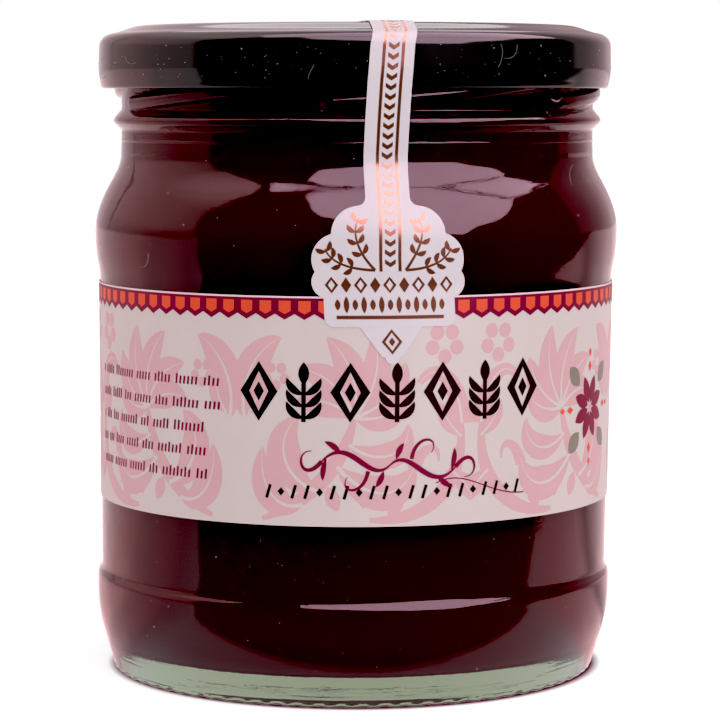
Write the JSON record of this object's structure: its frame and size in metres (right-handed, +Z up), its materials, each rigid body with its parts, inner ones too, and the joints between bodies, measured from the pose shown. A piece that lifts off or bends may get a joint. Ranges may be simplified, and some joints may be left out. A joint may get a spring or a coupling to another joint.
{
  "type": "jar of borscht",
  "caption": "Sealed glass jar of dark red beetroot soup with a black twist-off lid, a pale pink wrap label and a paper seal strip with a scalloped badge.",
  "frame": {"origin": "centre of the ring that the jar stands on", "axes": "+Z up along the jar's axis, -Y towards the front of the label"},
  "size_m": [0.0872, 0.0876, 0.1075],
  "materials": {
    "clear_glass": "gloss",
    "black_lacquer": "gloss",
    "beet_soup": "gloss",
    "label_paper": "satin",
    "seal_paper": "satin"
  },
  "bodies": {
    "root": {"jar": "clear_glass", "lid": "black_lacquer", "borscht": "beet_soup", "label": "label_paper", "seal": "seal_paper"}
  },
  "joints": []
}
